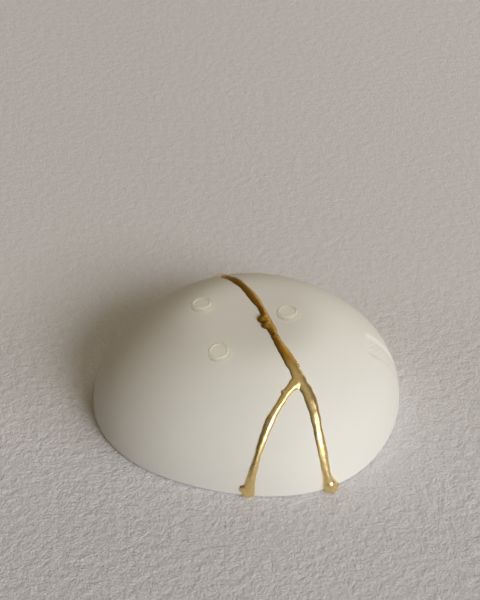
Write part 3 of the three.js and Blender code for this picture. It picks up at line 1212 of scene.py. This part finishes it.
@dataclass
class Bowl:
    """The whole mended bowl: shards, seam and pads."""

    form: BowlForm = field(default_factory=BowlForm)
    cracks: CrackMap = field(default_factory=CrackMap)
    panel: PressedPanel = field(default_factory=PressedPanel)

    def shards(self) -> list[Shard]:
        """The three shards, the right one with its grid close together where the panel is pressed in."""
        cracks = self.cracks
        return [
            SideShard("porcelain_shard_left", "shard_left", self.form, toward=-1.0, sweep=1.0,
                      path=cracks.branch(cracks.main, cracks.left_leg)),
            SideShard("porcelain_shard_right", "shard_right", self.form, toward=1.0, sweep=-1.0,
                      path=cracks.branch(cracks.main, cracks.right_leg), panel=self.panel,
                      columns=stretches((0.585, 103), (0.69, 59), (1.0, 57)),
                      rows=stretches((0.47, 37), (0.88, 99), (1.0, 14)),
                      pairing=((0, 0), (0.45, 0.38), (0.64, 0.47), (0.8, 0.62), (1, 1))),
            FrontShard("porcelain_shard_front", "shard_front", self.form,
                       left_path=cracks.branch(cracks.left_leg), right_path=cracks.branch(cracks.right_leg)),
        ]

    def pads(self) -> list[FootPad]:
        """The three clear pads."""
        return [
            FootPad("clear_pad_left", "foot_pad_left", self.form, -0.205, 0.077),
            FootPad("clear_pad_right", "foot_pad_right", self.form, 0.153, 0.019),
            FootPad("clear_pad_front", "foot_pad_front", self.form, -0.134, -0.236),
        ]

    def build(self) -> list[bpy.types.Object]:
        """Makes and dresses every piece.

        Returns:
            The pieces.
        """
        dressed = [
            ([shard.build() for shard in self.shards()], PorcelainFinish().material()),
            ([GoldSeam(self.form, self.cracks).build()], GoldFinish().material()),
            ([pad.build() for pad in self.pads()], ClearPadFinish().material()),
        ]
        for pieces, material in dressed:
            for piece in pieces:
                piece.data.materials.append(material)
        return [piece for pieces, _ in dressed for piece in pieces]


@dataclass(frozen=True)
class SoftLight:
    """A broad soft light far away: where it stands, how wide it looks from the bowl and how strong it is."""

    name: str
    azimuth: float
    elevation: float
    spread: float
    strength: float
    colour: tuple[float, float, float]

    def build(self) -> None:
        """Hangs the light and turns it to the bowl."""
        lamp = bpy.data.lights.new(self.name, "SUN")
        lamp.angle = math.radians(self.spread)
        lamp.energy, lamp.color = self.strength, self.colour
        light = bpy.data.objects.new(self.name, lamp)
        level, turn = math.radians(self.elevation), math.radians(self.azimuth)
        light.location = (math.cos(level) * math.cos(turn), math.cos(level) * math.sin(turn), math.sin(level))
        light.rotation_euler = (math.pi / 2 - level, 0, turn + math.pi / 2)
        bpy.context.scene.collection.objects.link(light)


@dataclass(frozen=True)
class Studio:
    """A pale floor with painted light, lighter towards the front and the right, soft light from the front
    right and the back right, and the photograph's angle.
    """

    camera_at: tuple[float, float, float] = (-0.0024, -0.50561, 0.43331)
    camera_tilt: float = 52.5
    lens: float = 108.0
    sensor: float = 36.0
    floor_reach_m: float = 4.0
    floor_drop_m: float = 0.00002
    # The floor's colour runs from the shaded to the lit one: painted light, lighter towards the front and the
    # right
    floor_lit_colour: tuple[float, float, float] = (0.93, 0.915, 0.945)
    floor_shaded_colour: tuple[float, float, float] = (0.73, 0.715, 0.725)
    floor_left_m: float = -0.05
    floor_right_m: float = 0.11
    floor_front_m: float = -0.06
    floor_back_m: float = 0.04
    floor_front_painted_light: float = 0.8
    floor_right_painted_light: float = 0.25
    floor_rough: float = 0.8
    floor_relief_m: float = 0.0013
    floor_grain_scale: float = 950.0
    floor_grain_rough: float = 0.75
    floor_waves_scale: float = 300.0
    floor_waves: float = 1.25
    floor_grain_near_m: float = -0.07
    floor_grain_far_m: float = 0.065
    floor_far_relief: float = 0.17
    back_glow_ends: tuple[float, float] = (0.0, 0.45)
    overhead_ends: tuple[float, float] = (0.62, 0.99)
    front_glow: tuple[float, float, float] = (0.04, 0.03, 0.025)
    back_glow: tuple[float, float, float] = (0.09, 0.05, 0.02)
    overhead_glow: tuple[float, float, float] = (0.34, 0.29, 0.18)
    lights: tuple[SoftLight, ...] = (
        SoftLight("window_left_half", -54.0, 28.0, 22.0, 1.5, (0.94, 0.98, 1.0)),
        SoftLight("window_right_half", -28.0, 28.0, 30.0, 0.72, (0.96, 0.95, 0.98)),
        SoftLight("window_low", -46.0, 9.0, 34.0, 0.24, (0.97, 0.98, 0.98)),
        SoftLight("front_low", -82.0, 14.0, 40.0, 0.34, (1.0, 0.96, 0.88)),
        SoftLight("far_window_low", 60.0, 12.0, 36.0, 0.34, (0.98, 1.0, 0.88)),
        SoftLight("far_window_high", 62.0, 42.0, 30.0, 0.17, (1.0, 0.98, 0.85)),
    )

    def camera(self) -> None:
        """Sets up the camera."""
        lens = bpy.data.cameras.new("camera")
        lens.lens, lens.sensor_width = self.lens, self.sensor
        camera = bpy.data.objects.new("camera", lens)
        camera.location = self.camera_at
        camera.rotation_euler = (math.radians(self.camera_tilt), 0, 0)
        bpy.context.scene.collection.objects.link(camera)
        bpy.context.scene.camera = camera

    def floor(self) -> None:
        """Lays the floor just under the rim, with painted light that makes its colour lighter towards the
        front and the right.
        """
        reach, low = self.floor_reach_m, -self.floor_drop_m
        mesh = bpy.data.meshes.new("floor")
        corners = [(-reach, -reach, low), (reach, -reach, low), (reach, reach, low), (-reach, reach, low)]
        mesh.from_pydata(corners, [], [(0, 1, 2, 3)])
        floor = bpy.data.objects.new("floor", mesh)
        bpy.context.scene.collection.objects.link(floor)
        material = bpy.data.materials.new("pale_floor")
        material.use_nodes = True
        bench = Bench(material.node_tree)
        shader = material.node_tree.nodes["Principled BSDF"]
        place = bench.add("ShaderNodeTexCoord").outputs["Object"]
        back = bench.part_of(place, "Y")
        # Painted light: more of the lit colour towards the front and the right
        across = bench.ramp(bench.part_of(place, "X"), self.floor_left_m, self.floor_right_m)
        front = bench.ramp(back, self.floor_back_m, self.floor_front_m, 0.0, self.floor_front_painted_light, True)
        share = bench.sum_of(front, across, self.floor_right_painted_light)
        bench.feed(bench.mix(share, self.floor_shaded_colour, self.floor_lit_colour), shader.inputs["Base Color"])
        grit = bench.add("ShaderNodeTexNoise", Vector=place, Scale=self.floor_grain_scale, Detail=4.0,
                         Roughness=self.floor_grain_rough)
        waves = bench.add("ShaderNodeTexNoise", Vector=place, Scale=self.floor_waves_scale, Detail=2.0)
        fade = bench.ramp(back, self.floor_grain_near_m, self.floor_grain_far_m, 1.0, self.floor_far_relief)
        relief = bench.add("ShaderNodeMath", {"operation": "MULTIPLY"})
        bench.feed(bench.sum_of(grit.outputs[0], waves.outputs[0], self.floor_waves), relief.inputs[0])
        bench.feed(fade, relief.inputs[1])
        height = relief.outputs[0]
        bump = bench.add("ShaderNodeBump", Strength=1.0, Distance=self.floor_relief_m, Height=height)
        bench.feed(bump.outputs["Normal"], shader.inputs["Normal"])
        shader.inputs["Roughness"].default_value = self.floor_rough
        mesh.materials.append(material)

    def room(self) -> None:
        """Fills the room with a faint glow, warm behind the bowl, and a soft lighter patch overhead."""
        world = bpy.data.worlds.new("room")
        world.use_nodes = True
        world.node_tree.nodes.clear()
        bench = Bench(world.node_tree)
        way = bench.add("ShaderNodeTexCoord").outputs["Generated"]
        share = bench.ramp(bench.part_of(way, "Y"), *self.back_glow_ends, smooth=True)
        glow = bench.add("ShaderNodeBackground", Color=bench.mix(share, self.front_glow, self.back_glow))
        high = bench.ramp(bench.part_of(way, "Z"), *self.overhead_ends, smooth=True)
        overhead = bench.add("ShaderNodeBackground", Color=(*self.overhead_glow, 1), Strength=high)
        both = bench.add("ShaderNodeAddShader")
        bench.feed(glow.outputs[0], both.inputs[0])
        bench.feed(overhead.outputs[0], both.inputs[1])
        bench.add("ShaderNodeOutputWorld", Surface=both.outputs[0])
        bpy.context.scene.world = world

    def build(self) -> None:
        """Sets the stage."""
        self.camera()
        self.floor()
        self.room()
        for light in self.lights:
            light.build()
        bpy.context.scene.view_settings.view_transform = "Standard"


def main() -> None:
    """Builds the bowl and the studio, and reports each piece."""
    logging.basicConfig(level=logging.INFO, format="%(message)s")
    for piece in Bowl().build():
        triangles = sum(len(face.vertices) - 2 for face in piece.data.polygons)
        LOG.info("%s: %d triangles, %s", piece.name, triangles, piece.data.materials[0].name)
    Studio().build()
    bpy.context.view_layer.update()


if __name__ == "__main__":
    main()
